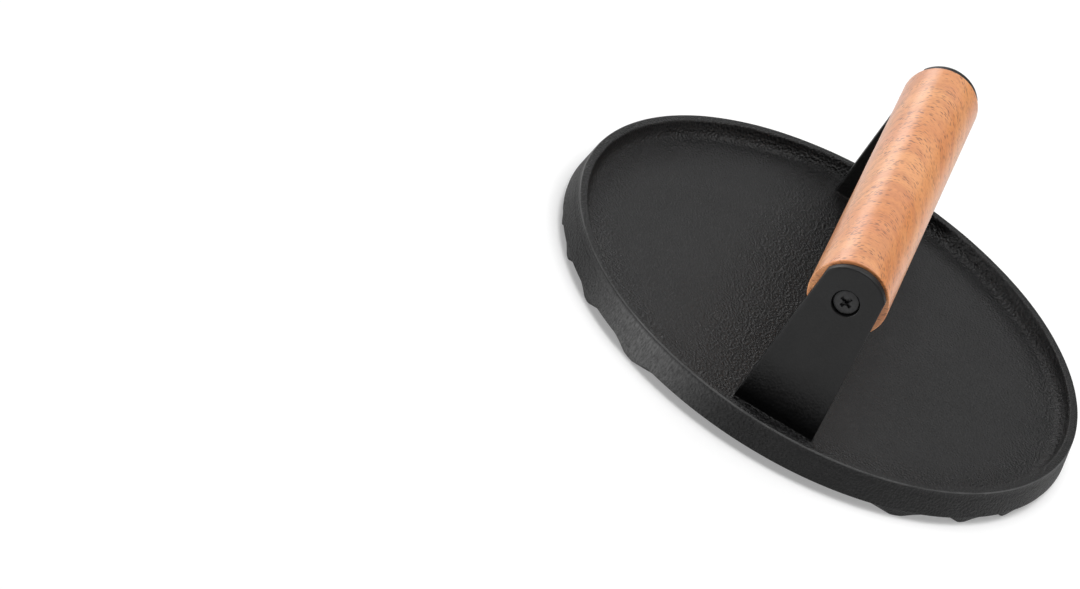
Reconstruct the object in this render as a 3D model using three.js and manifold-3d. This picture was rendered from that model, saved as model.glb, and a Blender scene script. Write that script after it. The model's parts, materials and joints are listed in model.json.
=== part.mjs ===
// Round cast-iron bacon press with a wooden grip. Millimetres, +Z up.
//
// The part stands on its grill ribs: z = 0 is the plane through the rib crests, the origin
// is under the centre of the plate, and the grip runs along Y. It comes apart into five pieces:
// the casting (plate, rim, ribs and two arms), the wooden grip, a threaded steel tube inside
// the grip, and two screws that clamp the arms against the grip's ends.

import * as THREE from 'three';
import { mergeVertices } from 'three/addons/utils/BufferGeometryUtils.js';
import Module from 'manifold-3d';

const wasm = await Module();
wasm.setup();

// ---------- driving dimensions ----------

const FIT_GAP = 0.3; // clearance between pieces that touch
const EMBED = 1.5; // how far a feature reaches into the body that it is cast onto

// plate
const RIM_RADIUS = 110; // outside of the rim
const WALL_FLARE = 1.9; // how far the side wall spreads on its way down to the underside
const PLATE_SEGMENTS = 144;
const RIB_HEIGHT = 3.5;
const WALL_HEIGHT = 11.5; // side wall, from the flat underside to the top of the rim
const RIM_WIDTH = 3.7;
const TRAY_DEPTH = 6.5;
const WALL_DRAFT = 0.6; // how far the inside of the rim leans inwards on its way down
const TRAY_FILLET = 4;
const RIM_EDGE = 0.4;
const RIM_SHOULDER = 0.8; // radius of the rim's inner top edge
const BOTTOM_EDGE = 0.6;

// grill ribs, which run along X
const RIB_COUNT = 10;
const RIB_PITCH = 20.8;
const RIB_WIDTH = 12;
const RIB_LAND = 2; // flat strip along a rib's crest, which the press rests on
const RIB_FLANK_STEPS = 4;
const RIB_END_INSET = 0.4; // gap between a rib's end and the widest part of the wall, at the underside
const RIB_END_DRAFT = 1.1; // how much shorter a rib is along its crest

// arms, one at each end of the grip
const ARM_THICKNESS = 4;
const ARM_OUTER_Y = 93.5;
const ARM_TOP_RADIUS = 14.8;
const ARM_BASE_WIDTH = 34.3;
const ARM_EYE_WIDTH = 26; // between the straight sides, at the height of the grip's axis
const ARM_EDGE = 0.6;
const ARM_FOOT_FILLET = 0.9;
const ARM_FOOT_SINK = 0.1; // the foot fillet's feather edge lies this far under the floor
const ARM_ARC_STEPS = 24;

// grip
const GRIP_AXIS_ABOVE_RIM = 52.6;
const GRIP_RADIUS = 15.65;
const GRIP_END_ROUND = 0.5;
const GRIP_SEGMENTS = 48;

// threaded tube inside the grip
const TUBE_RADIUS = 4.5;
const TUBE_END_INSET = 0.5; // shorter than the grip at each end, so the arms bear on the wood

// screws: M5, cross recess, heads let into the arms
const SCREW_RADIUS = 2.5;
const SCREW_LENGTH = 20;
const SCREW_POINT = 0.8;
const HEAD_RADIUS = 5.05;
const HEAD_HEIGHT = 1.5;
const HEAD_EDGE = 0.4;
const COUNTERBORE_RADIUS = 5.4;
const COUNTERBORE_DEPTH = 2.8;
const CROSS_LENGTH = 5;
const CROSS_WIDTH = 1.5;
const CROSS_DEPTH = 1.2;
const CROSS_TAPER = 0.35;
const SCREW_SEGMENTS = 32;

// ---------- sizes that follow from them ----------

const PLATE_RADIUS = RIM_RADIUS + WALL_FLARE;
const UNDERSIDE_Z = RIB_HEIGHT;
const RIM_TOP_Z = UNDERSIDE_Z + WALL_HEIGHT;
const FLOOR_Z = RIM_TOP_Z - TRAY_DEPTH;
const GRIP_AXIS_Z = RIM_TOP_Z + GRIP_AXIS_ABOVE_RIM;
const ARM_INNER_Y = ARM_OUTER_Y - ARM_THICKNESS;
const ARM_MIDDLE_Y = ARM_OUTER_Y - ARM_THICKNESS / 2;
const GRIP_HALF_LENGTH = ARM_INNER_Y - FIT_GAP;
const TUBE_HALF_LENGTH = GRIP_HALF_LENGTH - TUBE_END_INSET;
const TUBE_BORE_RADIUS = SCREW_RADIUS + FIT_GAP;
const GRIP_BORE_RADIUS = TUBE_RADIUS + FIT_GAP;
const HEAD_SEAT_Y = ARM_OUTER_Y - COUNTERBORE_DEPTH + FIT_GAP; // underside of a screw's head

// ---------- solids ----------

// A closed geometry as a manifold solid.
function solidOf(geometry) {
  const shell = geometry.clone();
  shell.deleteAttribute('normal');
  shell.deleteAttribute('uv');
  const merged = mergeVertices(shell, 1e-4);
  return new wasm.Manifold(new wasm.Mesh({
    numProp: 3,
    vertProperties: new Float32Array(merged.getAttribute('position').array),
    triVerts: new Uint32Array(merged.getIndex().array),
  }));
}

// A manifold solid as a flat-shaded geometry.
function geometryOf(solid) {
  const { vertProperties, triVerts } = solid.getMesh();
  const indexed = new THREE.BufferGeometry();
  indexed.setAttribute('position', new THREE.BufferAttribute(vertProperties, 3));
  indexed.setIndex(new THREE.BufferAttribute(triVerts, 1));
  const geometry = indexed.toNonIndexed();
  geometry.computeVertexNormals();
  return geometry;
}

// A profile of [radius, height] points turned about Z.
function turned(profile, segments) {
  const points = profile.map(([radius, height]) => new THREE.Vector2(radius, height));
  return new THREE.LatheGeometry(points, segments).rotateX(Math.PI / 2);
}

// A profile of [radius, distance] points turned about Y, with distance measured along +Y.
function turnedAboutY(profile, segments) {
  const points = profile.map(([radius, distance]) => new THREE.Vector2(radius, distance));
  return new THREE.LatheGeometry(points, segments);
}

// Points of a circular arc in a profile, from one angle to another, in degrees.
function arc(centreX, centreY, radius, fromDegrees, toDegrees, steps) {
  return Array.from({ length: steps + 1 }, (_, i) => {
    const angle = THREE.MathUtils.degToRad(fromDegrees + ((toDegrees - fromDegrees) * i) / steps);
    return [centreX + radius * Math.cos(angle), centreY + radius * Math.sin(angle)];
  });
}

// A closed outline of [x, y] points as a shape.
function shapeOf(points) {
  return new THREE.Shape(points.map(([x, y]) => new THREE.Vector2(x, y)));
}

// ---------- casting ----------

// The plate with its raised rim, as one turned profile from the centre of the underside
// round to the centre of the tray floor.
function plateSolid() {
  const rimInner = RIM_RADIUS - RIM_WIDTH;
  const shoulderCentre = [rimInner + RIM_SHOULDER, RIM_TOP_Z - RIM_SHOULDER];
  const filletCentre = [rimInner - WALL_DRAFT - TRAY_FILLET, FLOOR_Z + TRAY_FILLET];
  const profile = [
    [0, UNDERSIDE_Z],
    ...arc(PLATE_RADIUS - BOTTOM_EDGE, UNDERSIDE_Z + BOTTOM_EDGE, BOTTOM_EDGE, -90, 0, 3),
    ...arc(RIM_RADIUS - RIM_EDGE, RIM_TOP_Z - RIM_EDGE, RIM_EDGE, 0, 90, 2),
    ...arc(...shoulderCentre, RIM_SHOULDER, 90, 180, 3),
    ...arc(...filletCentre, TRAY_FILLET, 0, -90, 4),
    [0, FLOOR_Z],
  ];
  return solidOf(turned(profile, PLATE_SEGMENTS));
}

// One rib: two wave-shaped flanks with a flat land between them, extruded along X and centred
// on the given y.
function ribSolid(y) {
  const flank = Array.from({ length: RIB_FLANK_STEPS + 1 }, (_, i) => {
    const down = i / RIB_FLANK_STEPS;
    const across = THREE.MathUtils.lerp(RIB_WIDTH, RIB_LAND, down) / 2;
    return [across, -RIB_HEIGHT * (0.5 - 0.5 * Math.cos(Math.PI * down))];
  });
  const otherFlank = flank.map(([across, height]) => [-across, height]);
  const outline = [
    [RIB_WIDTH / 2, EMBED],
    [-RIB_WIDTH / 2, EMBED],
    ...otherFlank,
    ...flank.reverse(),
  ];
  const length = 2 * PLATE_RADIUS;
  const rib = new THREE.ExtrudeGeometry(shapeOf(outline), { depth: length, bevelEnabled: false });
  rib.rotateX(Math.PI / 2).rotateZ(Math.PI / 2);
  rib.translate(-length / 2, y, UNDERSIDE_Z);
  return solidOf(rib);
}

// All the ribs, trimmed to the round plate by a disc with a tapered edge.
function ribSolids() {
  const rootRadius = PLATE_RADIUS - RIB_END_INSET;
  const taper = RIB_END_DRAFT / RIB_HEIGHT;
  const lowRadius = rootRadius - taper * (RIB_HEIGHT + EMBED);
  const top = UNDERSIDE_Z + 2 * EMBED;
  const round = [[0, -EMBED], [lowRadius, -EMBED], [rootRadius, UNDERSIDE_Z], [rootRadius, top], [0, top]];
  let ribs = ribSolid(-((RIB_COUNT - 1) / 2) * RIB_PITCH);
  for (let i = 1; i < RIB_COUNT; i += 1) {
    ribs = ribs.add(ribSolid((i - (RIB_COUNT - 1) / 2) * RIB_PITCH));
  }
  return ribs.intersect(solidOf(turned(round, PLATE_SEGMENTS)));
}

// The arm's outline in X and Z: straight sides that lean inwards, cut off by the round top, which
// is an arc about the grip's axis.
function armOutline() {
  const halfBase = ARM_BASE_WIDTH / 2;
  const halfEye = ARM_EYE_WIDTH / 2;
  const lean = Math.atan2(halfBase - halfEye, GRIP_AXIS_Z - FLOOR_Z);
  const corner = lean + Math.acos((halfEye * Math.cos(lean)) / ARM_TOP_RADIUS);
  const degrees = THREE.MathUtils.radToDeg(corner);
  const top = arc(0, GRIP_AXIS_Z, ARM_TOP_RADIUS, degrees, 180 - degrees, ARM_ARC_STEPS);
  const bottom = FLOOR_Z - EMBED;
  return [[-halfBase, bottom], [halfBase, bottom], [halfBase, FLOOR_Z], ...top, [-halfBase, FLOOR_Z]];
}

// A flat upright slab of the arm's outline with rounded edges, centred on the given y.
function armSlab(y) {
  const slab = new THREE.ExtrudeGeometry(shapeOf(armOutline()), {
    depth: ARM_THICKNESS - 2 * ARM_EDGE,
    bevelThickness: ARM_EDGE,
    bevelSize: ARM_EDGE,
    bevelOffset: -ARM_EDGE,
    bevelSegments: 2,
  });
  slab.translate(0, 0, ARM_EDGE - ARM_THICKNESS / 2).rotateX(Math.PI / 2);
  return solidOf(slab.translate(0, y, 0));
}

// The cove round an arm's foot. A bevel that shrinks inwards gives a block with a waist: its
// lower half is the cove, and the upper half is cut away.
function armFoot(y) {
  const halfX = ARM_BASE_WIDTH / 2 + ARM_FOOT_FILLET;
  const halfY = ARM_THICKNESS / 2 + ARM_FOOT_FILLET;
  const plan = shapeOf([[-halfX, -halfY], [halfX, -halfY], [halfX, halfY], [-halfX, halfY]]);
  const waisted = new THREE.ExtrudeGeometry(plan, {
    depth: EMBED,
    bevelThickness: ARM_FOOT_FILLET,
    bevelSize: -ARM_FOOT_FILLET,
    bevelSegments: 4,
  });
  waisted.translate(0, y, FLOOR_Z - ARM_FOOT_SINK + ARM_FOOT_FILLET);
  const lowerHalf = new THREE.BoxGeometry(3 * halfX, 3 * halfY, 2 * ARM_FOOT_FILLET);
  lowerHalf.translate(0, y, FLOOR_Z - ARM_FOOT_SINK);
  return solidOf(waisted).intersect(solidOf(lowerHalf));
}

// Through hole and counterbore of the arm on the given side, as one stepped cutter.
function armBore(side) {
  const hole = SCREW_RADIUS + FIT_GAP;
  const step = ARM_OUTER_Y - COUNTERBORE_DEPTH;
  const mouth = ARM_OUTER_Y + EMBED;
  const profile = [
    [0, ARM_INNER_Y - EMBED],
    [hole, ARM_INNER_Y - EMBED],
    [hole, step],
    [COUNTERBORE_RADIUS, step],
    [COUNTERBORE_RADIUS, mouth],
    [0, mouth],
  ];
  const cutter = turnedAboutY(profile, SCREW_SEGMENTS);
  if (side < 0) cutter.rotateZ(Math.PI);
  return solidOf(cutter.translate(0, 0, GRIP_AXIS_Z));
}

function pressCasting() {
  let casting = plateSolid().add(ribSolids());
  for (const side of [-1, 1]) {
    casting = casting.add(armSlab(side * ARM_MIDDLE_Y)).add(armFoot(side * ARM_MIDDLE_Y));
    casting = casting.subtract(armBore(side));
  }
  return geometryOf(casting);
}

// ---------- grip, tube and screws, each on its own axis along Y ----------

// A round bar along Y with rounded ends and a through bore.
function boredBar(halfLength, radius, boreRadius, endRound, segments) {
  const roundCentre = halfLength - endRound;
  const profile = [
    [boreRadius, -halfLength],
    ...arc(radius - endRound, -roundCentre, endRound, -90, 0, 4),
    ...arc(radius - endRound, roundCentre, endRound, 0, 90, 4),
    [boreRadius, halfLength],
    [boreRadius, -halfLength],
  ];
  return geometryOf(solidOf(turnedAboutY(profile, segments)));
}

// The cross recess: two crossed wedges that narrow towards the bottom of the recess.
function crossRecess() {
  const top = HEAD_HEIGHT + EMBED;
  const bottom = HEAD_HEIGHT - CROSS_DEPTH;
  const halfTop = CROSS_LENGTH / 2 + CROSS_TAPER;
  const halfBottom = CROSS_LENGTH / 2 - CROSS_TAPER;
  const outline = shapeOf([[-halfBottom, bottom], [halfBottom, bottom], [halfTop, top], [-halfTop, top]]);
  const wedges = [0, Math.PI / 2].map((turn) => {
    const wedge = new THREE.ExtrudeGeometry(outline, { depth: CROSS_WIDTH, bevelEnabled: false });
    return solidOf(wedge.translate(0, 0, -CROSS_WIDTH / 2).rotateY(turn));
  });
  return wedges[0].add(wedges[1]);
}

// A screw along Y: the origin is the underside of the head, and the shank runs towards -Y.
function crossHeadScrew() {
  const profile = [
    [0, -SCREW_LENGTH],
    [SCREW_RADIUS - SCREW_POINT, -SCREW_LENGTH],
    [SCREW_RADIUS, SCREW_POINT - SCREW_LENGTH],
    [SCREW_RADIUS, 0],
    ...arc(HEAD_RADIUS - HEAD_EDGE, HEAD_EDGE, HEAD_EDGE, -90, 0, 1),
    ...arc(HEAD_RADIUS - HEAD_EDGE, HEAD_HEIGHT - HEAD_EDGE, HEAD_EDGE, 0, 90, 2),
    [0, HEAD_HEIGHT],
  ];
  const blank = solidOf(turnedAboutY(profile, SCREW_SEGMENTS));
  return geometryOf(blank.subtract(crossRecess()));
}

// ---------- materials ----------

const castIron = () => new THREE.MeshStandardMaterial({ color: 0x2b2b2c, roughness: 0.55, metalness: 0.6 });
const varnishedWood = () => new THREE.MeshStandardMaterial({ color: 0xc27a45, roughness: 0.35, metalness: 0 });
const zincSteel = () => new THREE.MeshStandardMaterial({ color: 0x9a9c9e, roughness: 0.4, metalness: 0.9 });
const blackSteel = () => new THREE.MeshStandardMaterial({ color: 0x1d1d1e, roughness: 0.45, metalness: 0.7 });

// ---------- assembly ----------

function named(name, geometry, material) {
  const mesh = new THREE.Mesh(geometry, material);
  mesh.name = name;
  return mesh;
}

const baconPress = new THREE.Group();
baconPress.add(named('press_casting', pressCasting(), castIron()));

const gripAssembly = new THREE.Group();
gripAssembly.position.z = GRIP_AXIS_Z;
baconPress.add(gripAssembly);

gripAssembly.add(named(
  'wooden_grip',
  boredBar(GRIP_HALF_LENGTH, GRIP_RADIUS, GRIP_BORE_RADIUS, GRIP_END_ROUND, GRIP_SEGMENTS),
  varnishedWood(),
));
gripAssembly.add(named(
  'threaded_tube',
  boredBar(TUBE_HALF_LENGTH, TUBE_RADIUS, TUBE_BORE_RADIUS, FIT_GAP, SCREW_SEGMENTS),
  zincSteel(),
));

for (const [name, side] of [['screw_front', -1], ['screw_rear', 1]]) {
  const screw = named(name, crossHeadScrew(), blackSteel());
  screw.position.y = side * HEAD_SEAT_Y;
  if (side < 0) screw.rotation.z = Math.PI;
  gripAssembly.add(screw);
}

export default baconPress;
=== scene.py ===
"""Round cast-iron bacon press with a varnished wooden grip: the looks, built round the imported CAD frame.

Every length is in metres in the CAD frame: the press stands on its ribs at z = 0, the grip runs along Y.
"""

import json
import math

import bmesh
import bpy
from mathutils import Matrix, Vector, noise

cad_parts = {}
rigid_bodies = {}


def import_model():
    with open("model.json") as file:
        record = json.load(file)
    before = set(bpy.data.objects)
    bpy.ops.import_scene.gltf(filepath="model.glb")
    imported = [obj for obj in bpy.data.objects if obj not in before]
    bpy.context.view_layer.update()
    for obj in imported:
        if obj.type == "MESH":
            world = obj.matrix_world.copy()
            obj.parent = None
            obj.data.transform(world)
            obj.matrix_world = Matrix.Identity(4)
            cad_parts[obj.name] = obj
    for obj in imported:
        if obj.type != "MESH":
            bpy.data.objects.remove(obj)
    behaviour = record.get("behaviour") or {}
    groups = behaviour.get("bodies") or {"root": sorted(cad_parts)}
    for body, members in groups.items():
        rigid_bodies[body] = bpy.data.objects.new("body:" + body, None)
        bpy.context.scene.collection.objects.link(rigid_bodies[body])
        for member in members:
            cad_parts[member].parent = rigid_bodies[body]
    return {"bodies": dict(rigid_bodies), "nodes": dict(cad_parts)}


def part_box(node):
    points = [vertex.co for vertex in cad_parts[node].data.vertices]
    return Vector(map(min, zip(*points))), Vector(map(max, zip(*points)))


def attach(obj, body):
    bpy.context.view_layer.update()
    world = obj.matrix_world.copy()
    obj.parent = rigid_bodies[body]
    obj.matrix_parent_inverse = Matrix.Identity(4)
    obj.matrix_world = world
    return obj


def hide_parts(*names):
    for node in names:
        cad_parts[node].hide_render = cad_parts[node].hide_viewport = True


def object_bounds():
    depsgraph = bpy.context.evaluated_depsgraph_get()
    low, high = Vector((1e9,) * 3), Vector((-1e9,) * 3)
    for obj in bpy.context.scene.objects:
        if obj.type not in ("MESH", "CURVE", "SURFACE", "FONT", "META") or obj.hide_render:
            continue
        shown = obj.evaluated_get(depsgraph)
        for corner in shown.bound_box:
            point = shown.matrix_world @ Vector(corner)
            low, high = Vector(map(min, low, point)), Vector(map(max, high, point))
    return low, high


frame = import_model()
cad_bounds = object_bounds()

MM = 0.001
BODY = next(iter(frame["bodies"]))

# ---------- sizes from the frame ----------

casting_low, casting_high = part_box("press_casting")
grip_low, grip_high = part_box("wooden_grip")
tube_low, tube_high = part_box("threaded_tube")

PLATE_RADIUS = (casting_high.x - casting_low.x) / 2
GRIP_RADIUS = (grip_high.x - grip_low.x) / 2
GRIP_HALF_LENGTH = (grip_high.y - grip_low.y) / 2
GRIP_AXIS_Z = (grip_high.z + grip_low.z) / 2
TUBE_RADIUS = (tube_high.x - tube_low.x) / 2
ARM_TOP_RADIUS = casting_high.z - GRIP_AXIS_Z

# ---------- sizes of the pieces ----------

# The main sizes repeat the CAD model's. Some small edges, the ribs' lands and the screws' recesses differ
# a little from it, and the threads, the bores' softened mouths and the uneven surfaces are only here.

FIT_GAP = 0.3 * MM
WALL_FLARE = 1.9 * MM
RIM_RADIUS = PLATE_RADIUS - WALL_FLARE
RIB_HEIGHT = 3.5 * MM
RIB_COUNT = 10
RIB_PITCH = 20.8 * MM
RIB_WIDTH = 12 * MM
RIB_LAND = 1.2 * MM
RIB_END_INSET = 0.4 * MM
RIB_END_DRAFT = 1.1 * MM
RIM_TOP_Z = RIB_HEIGHT + 11.5 * MM
RIM_WIDTH = 3.7 * MM
TRAY_DEPTH = 6.5 * MM
FLOOR_Z = RIM_TOP_Z - TRAY_DEPTH
WALL_DRAFT = 0.6 * MM
TRAY_FILLET = 4 * MM
RIM_EDGE = 0.4 * MM
RIM_SHOULDER = 0.8 * MM
BOTTOM_EDGE = 0.5 * MM
WALL_FOOT_LIFT = 0.15 * MM

ARM_THICKNESS = 4 * MM
ARM_BASE_WIDTH = 34.3 * MM
ARM_EYE_WIDTH = 26 * MM
ARM_EDGE = 0.6 * MM
ARM_FOOT_FILLET = 0.9 * MM
ARM_FOOT_SINK = 0.08 * MM
# Rows of vertices under the tray floor, and above it, where they are closest at the cove.
ARM_BURIED_ROWS = 3
ARM_BURIED_STEP = 1 * MM
ARM_FOOT_ROWS = [height * MM for height in (0, 0.1, 0.22, 0.38, 0.6, 0.9, 1.4, 2.2, 3.4, 5)]
ARM_INNER_Y = GRIP_HALF_LENGTH + FIT_GAP
ARM_MIDDLE_Y = ARM_INNER_Y + ARM_THICKNESS / 2
ARM_OUTER_Y = ARM_INNER_Y + ARM_THICKNESS

GRIP_END_ROUND = 0.5 * MM
GRIP_BORE_RADIUS = TUBE_RADIUS + FIT_GAP
BORE_CHAMFER = 0.6 * MM

SCREW_RADIUS = 2.5 * MM
THREAD_PITCH = 0.8 * MM
THREAD_DEPTH = 0.45 * MM
THREAD_CLEARANCE = 0.08 * MM
SCREW_POINT_LENGTH = 1.2 * MM
SCREW_POINT_SLOPE = 0.7
SHANK_IN_HEAD = 0.2 * MM
HEAD_RADIUS = 5.05 * MM
HEAD_HEIGHT = 1.5 * MM
HEAD_EDGE = 0.55 * MM
HEAD_DOME = 0.12 * MM
HEAD_UNDER_EDGE = 0.15 * MM
HEAD_CROWN_RADIUS = 0.55 * HEAD_RADIUS
HEAD_CROWN_DROP = 0.3 * HEAD_DOME
COUNTERBORE_RADIUS = 5.4 * MM
COUNTERBORE_DEPTH = 2.8 * MM
COUNTERBORE_LIP = 0.35 * MM
CROSS_LENGTH = 5.2 * MM
CROSS_WIDTH = 1.5 * MM
CROSS_DEPTH = 1.3 * MM
CROSS_TAPER = 0.5 * MM
CROSS_BOTTOM_SHARE = 0.7
CROSS_PIT_RADIUS = 1.6 * MM
CROSS_PIT_DEPTH = 2.4 * MM

# The cutters reach this far past what they cut, and vertices this close after a cut are one vertex.
CUT_PAST = 1 * MM
SLIVER = 0.002 * MM

# The uneven surfaces: layers of (wavelength, height).
CAST_WAVES = [(30 * MM, 0.06 * MM), (9 * MM, 0.012 * MM)]
TURNED_WAVES = [(30 * MM, 0.05 * MM)]

# The side wall has a painted highlight round one place, fading out to both sides: angles about Z in degrees.
PAINTED_HIGHLIGHT_ANGLE = 238.5
PAINTED_HIGHLIGHT_HALF_WIDTH = 26
# The strong grain under the grip is centred this far to the -X side.
GRAIN_OFFSET = 14 * MM

# The wood's growth layers are square to this: nearly along the grip, but at a slant, so they show as arcs.
GROWTH_NORMAL = Vector((0.62, 1.0, -2.48))

# Nearly all of a noise's values lie between these two.
NOISE_LOW = 0.3
NOISE_HIGH = 0.7

# ---------- camera ----------

CAMERA_DISTANCE = 1.944
CAMERA_AZIMUTH = 0.0
CAMERA_ELEVATION = 30.6
CAMERA_ROLL = 30.66
CAMERA_AIM_RIGHT = -0.1259
CAMERA_AIM_UP = -0.0183
CAMERA_LENS = 166.7
SENSOR_WIDTH = 36.0


# ---------- mesh helpers ----------

class Skin:
    """The vertices and faces of one closed surface, built loop by loop."""

    def __init__(self):
        self.vertices = []
        self.faces = []

    def loop(self, points):
        start = len(self.vertices)
        self.vertices.extend(tuple(p) for p in points)
        return list(range(start, len(self.vertices)))

    def bridge(self, first, second):
        count = len(first)
        for i in range(count):
            j = (i + 1) % count
            self.faces.append((first[i], first[j], second[j], second[i]))

    def fill_rows(self, loop, columns):
        """Fills a loop that is mirrored in X with rows parallel to X.

        Point 0 and the point half way round lie on the mirror line.
        """
        count = len(loop)
        half = count // 2
        shares = [c / columns for c in range(1, columns)]
        rows = []
        for k in range(1, half):
            right, y, z = self.vertices[loop[k]]
            left = self.vertices[loop[count - k]][0]
            inner = [(right + (left - right) * share, y, z) for share in shares]
            rows.append([loop[k], *self.loop(inner), loop[count - k]])
        for row, nearest in ((rows[0], loop[0]), (rows[-1], loop[half])):
            self.faces.extend((nearest, row[c], row[c + 1]) for c in range(columns))
        for lower, upper in zip(rows, rows[1:]):
            for c in range(columns):
                self.faces.append((lower[c], lower[c + 1], upper[c + 1], upper[c]))

    def mesh(self, name):
        mesh = bpy.data.meshes.new(name)
        mesh.from_pydata(self.vertices, [], self.faces)
        face_outwards(mesh)
        return mesh


def face_outwards(mesh):
    """Turns every face of a closed mesh outwards."""
    work = bmesh.new()
    work.from_mesh(mesh)
    bmesh.ops.recalc_face_normals(work, faces=work.faces)
    work.to_mesh(mesh)
    work.free()


def drop_slivers(mesh):
    """Merges the vertices that a boolean leaves on top of each other, and drops the faces between them."""
    work = bmesh.new()
    work.from_mesh(mesh)
    bmesh.ops.remove_doubles(work, verts=work.verts, dist=SLIVER)
    bmesh.ops.dissolve_degenerate(work, edges=work.edges, dist=SLIVER)
    work.to_mesh(mesh)
    work.free()


def mirrored(half):
    """A closed loop from its right half, whose points start with X and whose ends lie on the mirror line."""
    return half + [(-x, *rest) for x, *rest in reversed(half[1:-1])]


def arc(centre, radius, start, end, steps):
    """Points of a circular arc between two angles in degrees."""
    angles = [math.radians(start + (end - start) * i / steps) for i in range(steps + 1)]
    return [(centre[0] + radius * math.cos(a), centre[1] + radius * math.sin(a)) for a in angles]


def turned(name, profile, segments):
    """A profile of (radius, height) points turned about Z. It closes on itself, or ends on the axis."""
    skin = Skin()
    angles = [2 * math.pi * i / segments for i in range(segments)]
    loops = []
    for radius, height in profile:
        if radius == 0:
            loops.append(skin.loop([(0, 0, height)]) * segments)
        else:
            loops.append(skin.loop([(radius * math.cos(a), radius * math.sin(a), height) for a in angles]))
    starts_on_axis = profile[0][0] == 0
    following = loops[1:] if starts_on_axis else loops[1:] + loops[:1]
    for first, second in zip(loops, following):
        skin.bridge(first, second)
    mesh = bpy.data.meshes.new(name)
    mesh.from_pydata(skin.vertices, [], [tuple(dict.fromkeys(face)) for face in skin.faces])
    face_outwards(mesh)
    return mesh


def piece(name, mesh, material, smooth_angle=40):
    """A shown piece of the press, riding on the part's one body."""
    obj = bpy.data.objects.new(name, mesh)
    bpy.context.scene.collection.objects.link(obj)
    mesh.name = name
    mesh.materials.clear()
    mesh.materials.append(material)
    mesh.shade_smooth()
    mesh.set_sharp_from_angle(angle=math.radians(smooth_angle))
    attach(obj, BODY)
    return obj


def combine(base, others, operation):
    """The mesh that is left when other closed meshes are joined to, or cut from, a closed mesh."""
    scene = bpy.context.scene
    host = bpy.data.objects.new("combine_host", base)
    scene.collection.objects.link(host)
    guests = []
    for other in others:
        guest = bpy.data.objects.new("combine_guest", other)
        scene.collection.objects.link(guest)
        modifier = host.modifiers.new(other.name, "BOOLEAN")
        modifier.operation = operation
        modifier.solver = "EXACT"
        modifier.object = guest
        guests.append(guest)
    depsgraph = bpy.context.evaluated_depsgraph_get()
    result = bpy.data.meshes.new_from_object(host.evaluated_get(depsgraph))
    for obj in (host, *guests):
        bpy.data.objects.remove(obj)
    return result


def roughen(mesh, layers, seed):
    """Moves every vertex along its normal by smooth noise, but never below z = 0.

    Each layer of the noise is (wavelength, height).
    """
    offset = Vector((seed, 2 * seed, 3 * seed))
    normals = [v.normal.copy() for v in mesh.vertices]
    for vertex, normal in zip(mesh.vertices, normals):
        lift = sum(height * noise.noise(vertex.co / wavelength + offset) for wavelength, height in layers)
        vertex.co += normal * lift
        vertex.co.z = max(vertex.co.z, 0.0)


# ---------- casting ----------

def rib_z(y):
    """Height of the ribbed underside: 0 on a rib's crest, RIB_HEIGHT in a valley."""
    nearest = round(y / RIB_PITCH + (RIB_COUNT - 1) / 2)
    nearest = min(max(nearest, 0), RIB_COUNT - 1)
    away = abs(y - (nearest - (RIB_COUNT - 1) / 2) * RIB_PITCH)
    rise = (away - RIB_LAND / 2) / ((RIB_WIDTH - RIB_LAND) / 2)
    rise = min(max(rise, 0.0), 1.0)
    return RIB_HEIGHT * (0.5 - 0.5 * math.cos(math.pi * rise))


def plate_angles():
    """Angles of the plate's vertices from the -Y end to the +Y end, with rows that follow the ribs."""
    rows_per_rib = 24
    rows_each_way = 118
    end_steps = 22
    row_step = RIB_PITCH / rows_per_rib
    middle = [math.asin(i * row_step / PLATE_RADIUS) for i in range(-rows_each_way, rows_each_way + 1)]
    last = middle[-1]
    end = [last + (math.pi / 2 - last) * i / end_steps for i in range(1, end_steps + 1)]
    return [-a for a in reversed(end)] + middle + end


def end_inset(z):
    """How far the plate's edge draws in below the wall: a small step, then the taper of the ribs' ends."""
    step = (RIB_HEIGHT + RIB_END_INSET - z) / RIB_END_INSET
    return RIB_END_INSET * min(max(step, 0.0), 1.0) + RIB_END_DRAFT * max(1 - z / RIB_HEIGHT, 0.0)


def plate_profile():
    """The plate's (radius, z) profile above its ribs: side wall, rim, shoulder, tray wall and fillet."""
    foot_z = RIB_HEIGHT + BOTTOM_EDGE + WALL_FOOT_LIFT
    edge_z = RIM_TOP_Z - RIM_EDGE
    wall_steps, edge_steps, round_steps = 8, 4, 8
    flare = math.degrees(math.atan2(WALL_FLARE, edge_z - foot_z))
    profile = []
    for i in range(wall_steps):
        share = i / wall_steps
        profile.append((PLATE_RADIUS - WALL_FLARE * share, foot_z + (edge_z - foot_z) * share))
    profile += arc((RIM_RADIUS - RIM_EDGE, edge_z), RIM_EDGE, flare, 90, edge_steps)
    inner = RIM_RADIUS - RIM_WIDTH
    profile.append(((RIM_RADIUS - RIM_EDGE + inner + RIM_SHOULDER) / 2, RIM_TOP_Z))
    profile += arc((inner + RIM_SHOULDER, RIM_TOP_Z - RIM_SHOULDER), RIM_SHOULDER, 90, 180, round_steps)
    fillet_centre = (inner - WALL_DRAFT - TRAY_FILLET, FLOOR_Z + TRAY_FILLET)
    profile += arc(fillet_centre, TRAY_FILLET, 0, -90, round_steps)
    return profile


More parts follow.
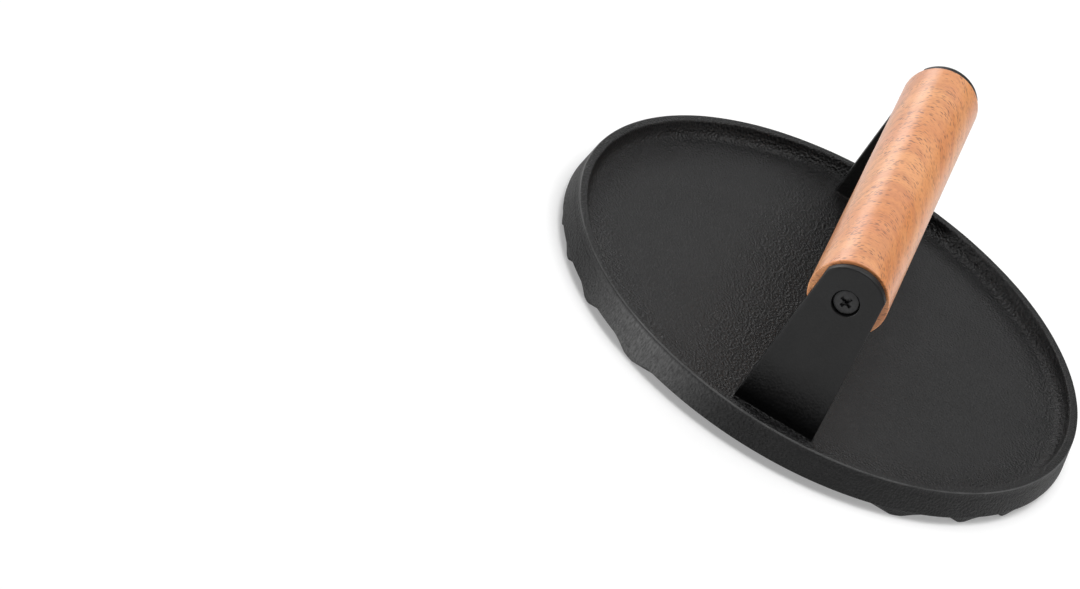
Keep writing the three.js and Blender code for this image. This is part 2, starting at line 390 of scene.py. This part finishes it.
def plate_mesh():
    """The rimmed plate with its ribs: underside, side wall, rim, tray wall and tray floor."""
    angles = plate_angles()
    columns = 84
    edge_steps = 5
    rib_end_shares = (0.3, 0.6, 0.85)
    skin = Skin()

    def edge_point(angle, radius, height):
        reach = radius - end_inset(height(radius * math.sin(angle)))
        y = reach * math.sin(angle)
        return reach * math.cos(angle), y, height(y)

    def ring(radius, height):
        half = [edge_point(angle, radius, height) for angle in angles]
        half[0] = (0.0, *half[0][1:])
        half[-1] = (0.0, *half[-1][1:])
        return skin.loop(mirrored(half))

    profile = plate_profile()
    rings = []
    for i in range(edge_steps + 1):
        turn = math.radians(90 * i / edge_steps)
        inset = BOTTOM_EDGE * (1 - math.sin(turn))
        lift = BOTTOM_EDGE * (1 - math.cos(turn))
        rings.append(ring(PLATE_RADIUS - inset, lambda y, lift=lift: rib_z(y) + lift))
    for share in rib_end_shares:
        def on_rib_end(y, share=share):
            low = rib_z(y) + BOTTOM_EDGE
            return low + (profile[0][1] - low) * share
        rings.append(ring(PLATE_RADIUS, on_rib_end))
    rings += [ring(radius, lambda y, z=z: z) for radius, z in profile]
    for first, second in zip(rings, rings[1:]):
        skin.bridge(first, second)
    skin.fill_rows(rings[0], columns)
    skin.fill_rows(rings[-1], columns)
    return skin.mesh("plate")


def arm_half_outline():
    """The right half of the arm's outline in X and Z, from under the tray floor to the round top."""
    half_base, half_eye = ARM_BASE_WIDTH / 2, ARM_EYE_WIDTH / 2
    slope = (half_base - half_eye) / (GRIP_AXIS_Z - FLOOR_Z)
    lean = math.atan(slope)
    corner = lean + math.acos(half_eye * math.cos(lean) / ARM_TOP_RADIUS)
    join = (ARM_TOP_RADIUS * math.cos(corner), GRIP_AXIS_Z + ARM_TOP_RADIUS * math.sin(corner))
    side_steps, top_steps = 16, 30
    last = join[1] - FLOOR_Z
    heights = list(ARM_FOOT_ROWS)
    heights += [heights[-1] + (last - heights[-1]) * i / side_steps for i in range(1, side_steps)]
    side = []
    for height in heights:
        share = height / last
        side.append((half_base + (join[0] - half_base) * share, FLOOR_Z + height))
    buried = []
    for i in range(ARM_BURIED_ROWS):
        depth = (ARM_BURIED_ROWS - i) * ARM_BURIED_STEP
        buried.append((half_base * i / (ARM_BURIED_ROWS - 1), FLOOR_Z - depth))
    top = arc((0, GRIP_AXIS_Z), ARM_TOP_RADIUS, math.degrees(corner), 90, top_steps)
    top[-1] = (0.0, GRIP_AXIS_Z + ARM_TOP_RADIUS)
    return buried + side + top


def inset_outline(half, inset):
    """The half outline moved inwards by a distance, square to itself."""
    moved = []
    for i, (x, z) in enumerate(half):
        before, after = half[max(i - 1, 0)], half[min(i + 1, len(half) - 1)]
        along = Vector((after[0] - before[0], after[1] - before[1])).normalized()
        moved.append((x - inset * along.y, z + inset * along.x))
    moved[0] = (0.0, moved[0][1])
    moved[-1] = (0.0, half[-1][1] - inset)
    return moved


def foot_spread(z):
    """How far the cove round an arm's foot stands out at a height."""
    height = z - FLOOR_Z + ARM_FOOT_SINK
    if height >= ARM_FOOT_FILLET:
        return 0.0
    left = ARM_FOOT_FILLET - max(height, 0.0)
    return ARM_FOOT_FILLET - math.sqrt(ARM_FOOT_FILLET**2 - left**2)


def arm_mesh(side):
    """One arm: a flat slab with rounded edges, a round top and a cove round its foot."""
    half = arm_half_outline()
    edge_steps = 5
    columns = 16
    skin = Skin()
    rounding = []
    for i in range(edge_steps + 1):
        angle = math.pi / 2 * i / edge_steps
        inset = ARM_EDGE * (1 - math.sin(angle))
        depth = ARM_THICKNESS / 2 - ARM_EDGE * (1 - math.cos(angle))
        rounding.append((inset, depth))
    layers = [(inset, -depth) for inset, depth in rounding] + rounding[::-1]
    loops = []
    for inset, depth in layers:
        outline = mirrored(inset_outline(half, inset))
        loops.append(skin.loop([(x, depth, z) for x, z in outline]))
    for first, second in zip(loops, loops[1:]):
        skin.bridge(first, second)
    skin.fill_rows(loops[0], columns)
    skin.fill_rows(loops[-1], columns)
    half_base = ARM_BASE_WIDTH / 2
    for i, (x, y, z) in enumerate(skin.vertices):
        spread = foot_spread(z)
        wider = 1 + spread / half_base
        thicker = 1 + spread / (ARM_THICKNESS / 2)
        skin.vertices[i] = (x * wider, y * thicker + side * ARM_MIDDLE_Y, z)
    return skin.mesh("arm")


def along_y(mesh, side, distance):
    """Turns a mesh made about Z to point its +Z end out of the press, and puts it on the grip's axis."""
    turn = Matrix.Rotation(math.radians(-90 * side), 4, "X")
    mesh.transform(Matrix.Translation((0, side * distance, GRIP_AXIS_Z)) @ turn)
    return mesh


def arm_bore(side):
    """The cutter for an arm's screw hole: a through hole and a counterbore with a softened lip."""
    hole = SCREW_RADIUS + FIT_GAP
    bottom = -ARM_THICKNESS - CUT_PAST
    lip_centre = (COUNTERBORE_RADIUS + COUNTERBORE_LIP, -COUNTERBORE_LIP)
    lip_steps = 4
    profile = [
        (0, bottom),
        (hole, bottom),
        (hole, -COUNTERBORE_DEPTH),
        (COUNTERBORE_RADIUS, -COUNTERBORE_DEPTH),
        *arc(lip_centre, COUNTERBORE_LIP, 180, 100, lip_steps),
        (COUNTERBORE_RADIUS + COUNTERBORE_LIP, CUT_PAST),
        (0, CUT_PAST),
    ]
    return along_y(turned("bore", profile, 64), side, ARM_OUTER_Y)


def casting_mesh():
    """The whole casting: plate and arms in one, with the screw holes cut and an uneven surface."""
    body = combine(plate_mesh(), [arm_mesh(-1), arm_mesh(1)], "UNION")
    body = combine(body, [arm_bore(-1), arm_bore(1)], "DIFFERENCE")
    roughen(body, CAST_WAVES, seed=4)
    return body


# ---------- grip and screws ----------

def grip_mesh():
    """The wooden bar: rounded ends, a through bore with chamfered mouths, and a barely uneven surface."""
    rings, end_steps = 110, 8
    straight = GRIP_HALF_LENGTH - GRIP_END_ROUND
    end_radius = GRIP_RADIUS - GRIP_END_ROUND
    profile = [(GRIP_BORE_RADIUS, -GRIP_HALF_LENGTH + BORE_CHAMFER)]
    profile.append((GRIP_BORE_RADIUS + BORE_CHAMFER, -GRIP_HALF_LENGTH))
    profile += arc((end_radius, -straight), GRIP_END_ROUND, -90, 0, end_steps)
    profile += [(GRIP_RADIUS, -straight + 2 * straight * i / rings) for i in range(1, rings)]
    profile += arc((end_radius, straight), GRIP_END_ROUND, 0, 90, end_steps)
    profile.append((GRIP_BORE_RADIUS + BORE_CHAMFER, GRIP_HALF_LENGTH))
    profile.append((GRIP_BORE_RADIUS, GRIP_HALF_LENGTH - BORE_CHAMFER))
    mesh = along_y(turned("grip", profile, 144), 1, 0)
    roughen(mesh, TURNED_WAVES, seed=9)
    return mesh


def cross_cutter():
    """The cross recess: two crossed wedges that narrow towards the bottom, and a deeper pit in the middle."""
    top = HEAD_HEIGHT + CUT_PAST
    bottom = HEAD_HEIGHT - CROSS_DEPTH
    corners = [(-1, -1), (1, -1), (1, 1), (-1, 1)]
    cutters = []
    for turn in (0, 90):
        skin = Skin()
        loops = []
        for height in (bottom, HEAD_HEIGHT, top):
            up = (height - bottom) / CROSS_DEPTH
            half_length = CROSS_LENGTH / 2 - CROSS_TAPER * (1 - up)
            half_width = CROSS_WIDTH / 2 * (CROSS_BOTTOM_SHARE + (1 - CROSS_BOTTOM_SHARE) * up)
            loops.append(skin.loop([(sx * half_length, sy * half_width, height) for sx, sy in corners]))
        for first, second in zip(loops, loops[1:]):
            skin.bridge(first, second)
        skin.faces += [tuple(loops[0]), tuple(loops[-1])]
        mesh = skin.mesh("wedge")
        mesh.transform(Matrix.Rotation(math.radians(turn), 4, "Z"))
        cutters.append(mesh)
    pit_bottom = HEAD_HEIGHT - CROSS_PIT_DEPTH
    pit = [(0, pit_bottom), (CROSS_PIT_RADIUS / 2, pit_bottom), (CROSS_PIT_RADIUS, top), (0, top)]
    return [*cutters, turned("pit", pit, 24)]


def shank_mesh(length):
    """A screw's shank with its helical thread, from under the head down to the point."""
    segments = 24
    steps_per_turn = 8
    steps = round(length / THREAD_PITCH * steps_per_turn)
    skin = Skin()
    loops = []
    for step in range(steps + 1):
        z = -length + length * step / steps
        ring = []
        for i in range(segments):
            phase = (z / THREAD_PITCH - i / segments) % 1.0
            depth = THREAD_DEPTH * abs(2 * phase - 1)
            runout = min(max(-z / THREAD_PITCH - 1, 0.0), 1.0)
            taper = max(SCREW_POINT_LENGTH - (z + length), 0.0) * SCREW_POINT_SLOPE
            radius = SCREW_RADIUS - THREAD_CLEARANCE - depth * runout - taper
            angle = 2 * math.pi * i / segments
            ring.append((radius * math.cos(angle), radius * math.sin(angle), z))
        loops.append(skin.loop(ring))
    for first, second in zip(loops, loops[1:]):
        skin.bridge(first, second)
    skin.faces += [tuple(loops[0]), tuple(loops[-1])]
    mesh = skin.mesh("shank")
    mesh.transform(Matrix.Translation((0, 0, SHANK_IN_HEAD)))
    return mesh


def screw_mesh(node, side, turn):
    """A cross-head screw in the place of its CAD node, with the recess turned by some degrees."""
    low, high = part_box(node)
    length = high.y - low.y - HEAD_HEIGHT
    seat = max(abs(low.y), abs(high.y)) - HEAD_HEIGHT
    flat = HEAD_HEIGHT - HEAD_DOME
    edge_steps = 6
    profile = [
        (0, 0),
        (HEAD_RADIUS - HEAD_UNDER_EDGE, 0),
        (HEAD_RADIUS, HEAD_UNDER_EDGE),
        *arc((HEAD_RADIUS - HEAD_EDGE, flat - HEAD_EDGE), HEAD_EDGE, 0, 80, edge_steps),
        (HEAD_CROWN_RADIUS, HEAD_HEIGHT - HEAD_CROWN_DROP),
        (0, HEAD_HEIGHT),
    ]
    blank = combine(turned("head", profile, 72), [shank_mesh(length)], "UNION")
    screw = combine(blank, cross_cutter(), "DIFFERENCE")
    drop_slivers(screw)
    screw.transform(Matrix.Rotation(math.radians(turn), 4, "Z"))
    return along_y(screw, side, seat)


# ---------- material helpers ----------

class Nodes:
    """A short way to write a material's node tree."""

    def __init__(self, name, roughness, metallic=0.0, specular=0.5, coat=None, glow=0.0):
        self.material = bpy.data.materials.new(name)
        self.material.use_nodes = True
        self.tree = self.material.node_tree
        self.shader = self.tree.nodes["Principled BSDF"]
        self.shader.inputs["Metallic"].default_value = metallic
        self.shader.inputs["Roughness"].default_value = roughness
        self.shader.inputs["Specular IOR Level"].default_value = specular
        self.shader.inputs["Emission Strength"].default_value = glow
        if coat:
            self.shader.inputs["Coat Weight"].default_value = coat[0]
            self.shader.inputs["Coat Roughness"].default_value = coat[1]

    def add(self, kind, settings=None, **inputs):
        """Adds a node. An input is named, with _ for a space, or _ and its number, and may be a link."""
        made = self.tree.nodes.new(kind)
        for name, value in (settings or {}).items():
            setattr(made, name, value)
        for name, value in inputs.items():
            socket = made.inputs[int(name[1:])] if name[1:].isdigit() else made.inputs[name.replace("_", " ")]
            if isinstance(value, bpy.types.NodeSocket):
                self.tree.links.new(value, socket)
            else:
                socket.default_value = value
        return made

    def position(self):
        return self.add("ShaderNodeTexCoord").outputs["Object"]

    def split(self, vector):
        """The X, Y and Z of a vector."""
        made = self.add("ShaderNodeSeparateXYZ", Vector=vector)
        return made.outputs["X"], made.outputs["Y"], made.outputs["Z"]

    def scaled(self, vector, rotation=(0, 0, 0), scale=(1, 1, 1)):
        made = self.add("ShaderNodeMapping", Vector=vector, Rotation=rotation, Scale=scale)
        return made.outputs["Vector"]

    def noise(self, vector, wavelength, detail=2.0, roughness=0.5):
        made = self.add("ShaderNodeTexNoise", Vector=vector, Scale=1 / wavelength, Detail=detail,
                        Roughness=roughness)
        return made.outputs["Fac"]

    def cells(self, vector, wavelength, smoothness=None):
        """How far the nearest of many scattered points is. With a smoothness, the cells run together."""
        settings = {"feature": "F1" if smoothness is None else "SMOOTH_F1"}
        made = self.add("ShaderNodeTexVoronoi", settings, Vector=vector, Scale=1 / wavelength)
        if smoothness is not None:
            made.inputs["Smoothness"].default_value = smoothness
        return made.outputs["Distance"]

    def math(self, operation, a, b=0.0):
        made = self.add("ShaderNodeMath", {"operation": operation}, _0=a, _1=b)
        return made.outputs[0]

    def ramp(self, value, low, high, out_low=0.0, out_high=1.0):
        """A smooth step from one value to another as the input goes from low to high."""
        settings = {"interpolation_type": "SMOOTHSTEP"}
        made = self.add("ShaderNodeMapRange", settings, _0=value, _1=low, _2=high, _3=out_low, _4=out_high)
        return made.outputs[0]

    def spread(self, value, out_low=0.0, out_high=1.0):
        """A noise spread over the whole of a range."""
        return self.ramp(value, NOISE_LOW, NOISE_HIGH, out_low, out_high)

    def blend(self, share, first, second):
        """A mix of two colours, from the first at share 0 to the second at share 1."""
        made = self.add("ShaderNodeMix", {"data_type": "RGBA"}, _0=share, _6=first, _7=second)
        return made.outputs[2]

    def bump(self, height, depth):
        made = self.add("ShaderNodeBump", Height=height, Distance=depth, Strength=1.0)
        return made.outputs["Normal"]

    def finish(self, colour, roughness=None, normal=None):
        for name, value in (("Base Color", colour), ("Roughness", roughness), ("Normal", normal)):
            if value is not None:
                self.tree.links.new(value, self.shader.inputs[name])
        return self.material


def rgba(red, green, blue):
    return (red, green, blue, 1.0)


# ---------- materials ----------

def rim_edge_zone(n, radius, height, facing_up):
    """1 along the rim's outer edge, which is painted lighter: partly wear, partly a painted highlight."""
    at_edge = n.ramp(radius, RIM_RADIUS - 0.6 * MM, RIM_RADIUS - 0.3 * MM)
    high = n.ramp(height, RIM_TOP_Z - 0.7 * MM, RIM_TOP_Z - 0.4 * MM)
    return n.math("MULTIPLY", n.math("MULTIPLY", at_edge, high), n.ramp(facing_up, 1.0, 0.95))


def arm_zone(n, radius, height):
    """1 on the arms, which stand well inside the tray and above its floor."""
    inside_tray = n.ramp(radius, RIM_RADIUS - 10 * MM, RIM_RADIUS - 12 * MM)
    above_floor = n.ramp(height, FLOOR_Z + 0.4 * MM, FLOOR_Z + 1.2 * MM)
    return n.math("MULTIPLY", inside_tray, above_floor)


def painted_highlight_zone(n, place, flat_place, radius, on_wall):
    """Up to 1 on the side wall's painted highlight, broken up by strokes that run up and down."""
    middle = Matrix.Rotation(math.radians(PAINTED_HIGHLIGHT_ANGLE), 3, "Z") @ Vector((1, 0, 0))
    reach = n.add("ShaderNodeVectorMath", {"operation": "DOT_PRODUCT"}, _0=flat_place, _1=middle)
    away = n.math("ARCCOSINE", n.math("DIVIDE", reach.outputs["Value"], radius))
    highlight_share = n.math("MULTIPLY", on_wall, n.ramp(away, math.radians(PAINTED_HIGHLIGHT_HALF_WIDTH), 0))
    strokes = n.noise(n.scaled(place, scale=(1, 1, 0.2)), 0.6 * MM)
    return n.math("MULTIPLY", highlight_share, n.spread(strokes, 0.5, 1.0))


def iron_grain_strength(n, x, height, radius, patches, on_arm, rim_edge):
    """How strong the cast grain is: most near the wall and under the grip, least up the arms."""
    near_wall = n.ramp(radius, RIM_RADIUS - 24 * MM, RIM_RADIUS - 7 * MM)
    under_grip = n.ramp(n.math("ABSOLUTE", n.math("ADD", x, GRAIN_OFFSET)), 34 * MM, 8 * MM)
    strength = n.math("ADD", n.math("MULTIPLY", near_wall, 1.3), n.math("MULTIPLY", under_grip, 1.1))
    strength = n.math("ADD", 0.5, n.math("MULTIPLY", strength, n.ramp(patches, 0.35, 0.6, 0.6, 1.0)))
    up_wall = n.ramp(height, FLOOR_Z + 2.5 * MM, FLOOR_Z + 4 * MM, 1.0, 0.6)
    strength = n.math("MULTIPLY", strength, up_wall)
    arm_strength = n.ramp(height, FLOOR_Z, FLOOR_Z + 30 * MM, 0.5, 0.12)
    strength = n.math("MULTIPLY", strength, n.math("SUBTRACT", 1.0, on_arm))
    strength = n.math("ADD", strength, n.math("MULTIPLY", arm_strength, on_arm))
    return n.math("MULTIPLY", strength, n.math("SUBTRACT", 1.0, n.math("MULTIPLY", rim_edge, 0.7)))


def cast_iron():
    """Seasoned black iron: nearly black, satin, fine orange-peel grain; the rim edge is partly worn and
    partly has a painted highlight, the side wall a painted highlight.
    """
    darker, lighter = rgba(0.0022, 0.0022, 0.0024), rgba(0.0045, 0.0045, 0.0048)
    # The rim edge's grey: partly wear, partly a painted highlight.
    worn_edge_and_highlight = rgba(0.07, 0.07, 0.07)
    # The grey of the side wall's painted highlight.
    painted_highlight_grey = rgba(0.105, 0.105, 0.105)
    n = Nodes("cast_iron", roughness=0.46, specular=0.37)
    place = n.position()
    x, y, height = n.split(place)
    flat_place = n.add("ShaderNodeCombineXYZ", X=x, Y=y).outputs[0]
    radius = n.add("ShaderNodeVectorMath", {"operation": "LENGTH"}, _0=flat_place).outputs["Value"]
    facing_up = n.split(n.add("ShaderNodeNewGeometry").outputs["Normal"])[2]

    rim_edge = rim_edge_zone(n, radius, height, facing_up)
    on_arm = arm_zone(n, radius, height)
    on_wall = n.ramp(radius, RIM_RADIUS, RIM_RADIUS + 0.3 * MM)
    highlight_share = painted_highlight_zone(n, place, flat_place, radius, on_wall)

    grain = n.cells(place, 1.15 * MM, smoothness=0.4)
    fine = n.noise(place, 0.7 * MM, roughness=0.6)
    mottle = n.noise(place, 12 * MM, detail=4.0, roughness=0.6)
    patches = n.noise(place, 60 * MM)

    colour = n.blend(n.spread(mottle), darker, lighter)
    wear_and_highlight_share = n.spread(mottle, 0.5, 1.0)
    # The rim's outer edge is painted lighter: partly wear, partly a painted highlight.
    colour = n.blend(n.math("MULTIPLY", rim_edge, wear_and_highlight_share), colour, worn_edge_and_highlight)
    # Painted highlight: one stretch of the side wall is lightened to grey where light would glance off it.
    colour = n.blend(highlight_share, colour, painted_highlight_grey)

    roughness = n.spread(patches, 0.44, 0.49)
    roughness = n.math("ADD", roughness, n.spread(fine, -0.03, 0.03))
    roughness = n.math("ADD", roughness, n.math("MULTIPLY", on_wall, 0.13))

    relief = n.math("ADD", n.math("MULTIPLY", grain, 0.6), n.math("MULTIPLY", fine, 0.6))
    strength = iron_grain_strength(n, x, height, radius, patches, on_arm, rim_edge)
    return n.finish(colour, roughness, n.bump(n.math("MULTIPLY", relief, strength), 0.6 * MM))


def varnished_wood():
    """Orange-brown hardwood under satin varnish: tilted growth layers, short dark pores."""
    golden, pale = rgba(0.68, 0.25, 0.075), rgba(0.78, 0.345, 0.125)
    layer_brown = rgba(0.5, 0.16, 0.05)
    blush_red = rgba(0.7, 0.26, 0.12)
    fibre_brown = rgba(0.46, 0.14, 0.04)
    pore_brown = rgba(0.19, 0.045, 0.012)
    n = Nodes("varnished_wood", roughness=0.5, specular=0.4, coat=(0.7, 0.33))
    turn = GROWTH_NORMAL.normalized().rotation_difference(Vector((0, 0, 1))).to_euler()
    place = n.position()
    layered = n.scaled(place, rotation=tuple(turn))
    sway = n.noise(layered, 30 * MM, detail=1.0)
    bent = n.add("ShaderNodeCombineXYZ", Z=n.math("MULTIPLY", sway, 6 * MM)).outputs[0]
    layered = n.add("ShaderNodeVectorMath", {"operation": "ADD"}, _0=layered, _1=bent).outputs[0]

    layers = n.noise(n.scaled(layered, scale=(0.08, 0.08, 1)), 2.4 * MM)
    figure = n.noise(n.scaled(layered, scale=(0.25, 0.25, 1)), 9 * MM)
    fibres = n.noise(n.scaled(layered, scale=(0.3, 0.3, 1)), 0.5 * MM)
    blush = n.noise(place, 22 * MM, detail=1.0)

    pore_place = n.scaled(layered, scale=(1, 1.2, 9))
    pores = n.cells(pore_place, 3.4 * MM)
    pore_zone = n.ramp(n.noise(n.scaled(layered, scale=(0.3, 0.3, 1)), 3 * MM), 0.38, 0.56)
    pores = n.math("MULTIPLY", n.ramp(pores, 0.4, 0.22), pore_zone)

    colour = n.blend(n.spread(figure), golden, pale)
    colour = n.blend(n.ramp(layers, 0.42, 0.68, 0.0, 0.5), colour, layer_brown)
    colour = n.blend(n.ramp(blush, 0.45, 0.75, 0.0, 0.4), colour, blush_red)
    colour = n.blend(n.ramp(fibres, 0.45, 0.75, 0.0, 0.45), colour, fibre_brown)
    colour = n.blend(n.math("MULTIPLY", pores, 0.9), colour, pore_brown)

    height = n.math("SUBTRACT", n.math("MULTIPLY", fibres, 0.6), pores)
    return n.finish(colour, None, n.bump(height, 0.06 * MM))


def black_steel():
    """Blackened screw steel, a little blotchy."""
    n = Nodes("black_steel", roughness=0.42, specular=0.4)
    place = n.position()
    blotches = n.noise(place, 1.6 * MM, detail=3.0)
    fine = n.noise(place, 0.25 * MM)
    colour = n.blend(n.ramp(blotches, 0.35, 0.7), rgba(0.011, 0.011, 0.0115), rgba(0.024, 0.024, 0.025))
    roughness = n.spread(blotches, 0.36, 0.5)
    return n.finish(colour, roughness, n.bump(fine, 0.02 * MM))


def zinc_steel():
    """Zinc-plated tube, drawn along its length."""
    n = Nodes("zinc_steel", roughness=0.35, metallic=1.0)
    place = n.position()
    drawn = n.noise(n.scaled(place, scale=(1, 0.03, 1)), 0.3 * MM, detail=3.0)
    spangle = n.noise(place, 3 * MM)
    colour = n.blend(n.ramp(spangle, 0.35, 0.65), rgba(0.46, 0.46, 0.48), rgba(0.6, 0.6, 0.6))
    return n.finish(colour, n.spread(spangle, 0.28, 0.42), n.bump(drawn, 0.02 * MM))


def pale_floor():
    """A plain pale floor, glowing faintly so that it stays white under the press."""
    n = Nodes("pale_floor", roughness=0.8, specular=0.2, glow=0.3)
    cloud = n.noise(n.position(), 0.4)
    return n.finish(n.blend(n.spread(cloud), rgba(0.71, 0.71, 0.71), rgba(0.73, 0.73, 0.73)))


# ---------- the press ----------

def build_press():
    """Every shown piece, each in the place of its CAD node. The hidden tube is the CAD node itself."""
    iron, wood, steel = cast_iron(), varnished_wood(), black_steel()
    casting = piece("press_casting_iron", casting_mesh(), iron, smooth_angle=35)
    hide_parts("press_casting")
    grip = piece("grip_wood", grip_mesh(), wood)
    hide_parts("wooden_grip")
    for node, side, turn in (("screw_front", -1, -25), ("screw_rear", 1, 61)):
        screw = piece(node + "_steel", screw_mesh(node, side, turn), steel, smooth_angle=30)
        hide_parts(node)
    tube = frame["nodes"]["threaded_tube"]
    for slot in tube.material_slots:
        slot.material = zinc_steel()


# ---------- stage, light and camera ----------

def build_floor():
    """A wide round slab whose top is at z = 0."""
    radius, thickness = 6, 0.02
    mesh = turned("floor", [(0, -thickness), (radius, -thickness), (radius, 0), (0, 0)], 96)
    floor = bpy.data.objects.new("floor", mesh)
    bpy.context.scene.collection.objects.link(floor)
    mesh.materials.append(pale_floor())


def area_light(name, position, target, size, power):
    """A rectangular white light that points at a target and that the camera doesn't see."""
    light = bpy.data.lights.new(name, "AREA")
    light.shape = "RECTANGLE"
    light.size, light.size_y = size
    light.energy = power
    obj = bpy.data.objects.new(name, light)
    obj.location = position
    obj.rotation_euler = (Vector(target) - Vector(position)).to_track_quat("-Z", "Y").to_euler()
    obj.visible_camera = False
    bpy.context.scene.collection.objects.link(obj)


def build_lights():
    """A large soft light overhead, weaker ones round the press, and an even dim world."""
    middle = (0, 0, 0.04)
    area_light("overhead", (0.1, 0.0, 1.6), middle, (1.4, 1.4), 26)
    area_light("back", (0.1, 2.4, 1.45), middle, (1.8, 0.9), 5.5)
    area_light("back_left", (-1.0, 1.7, 0.5), (0, 0, 0.07), (1.1, 0.45), 7)
    area_light("front_left", (-1.25, -0.8, 0.1), (0, 0, 0.01), (0.3, 0.15), 8)
    area_light("right", (1.6, 0.1, 0.5), middle, (0.5, 0.8), 4.6)
    world = bpy.data.worlds.new("studio")
    bpy.context.scene.world = world
    world.use_nodes = True
    background = world.node_tree.nodes["Background"]
    background.inputs["Color"].default_value = rgba(1.0, 1.0, 1.0)
    background.inputs["Strength"].default_value = 0.15


def build_camera():
    """The photograph's view: square to the grip's near end, above the tray, and rolled."""
    centre = (Vector(cad_bounds[0]) + Vector(cad_bounds[1])) / 2
    azimuth, elevation = math.radians(CAMERA_AZIMUTH), math.radians(CAMERA_ELEVATION)
    away = Vector((math.sin(azimuth) * math.cos(elevation), -math.cos(azimuth) * math.cos(elevation),
                   math.sin(elevation)))
    turn = away.to_track_quat("Z", "Y").to_matrix() @ Matrix.Rotation(math.radians(CAMERA_ROLL), 3, "Z")
    aim = centre + turn @ Vector((CAMERA_AIM_RIGHT, CAMERA_AIM_UP, 0))
    data = bpy.data.cameras.new("camera")
    data.lens = CAMERA_LENS
    data.sensor_width = SENSOR_WIDTH
    data.clip_end = 50
    camera = bpy.data.objects.new("camera", data)
    camera.matrix_world = Matrix.Translation(aim + away * CAMERA_DISTANCE) @ turn.to_4x4()
    bpy.context.scene.collection.objects.link(camera)
    bpy.context.scene.camera = camera


build_camera()
build_press()
build_floor()
build_lights()
bpy.context.scene.view_settings.view_transform = "Standard"
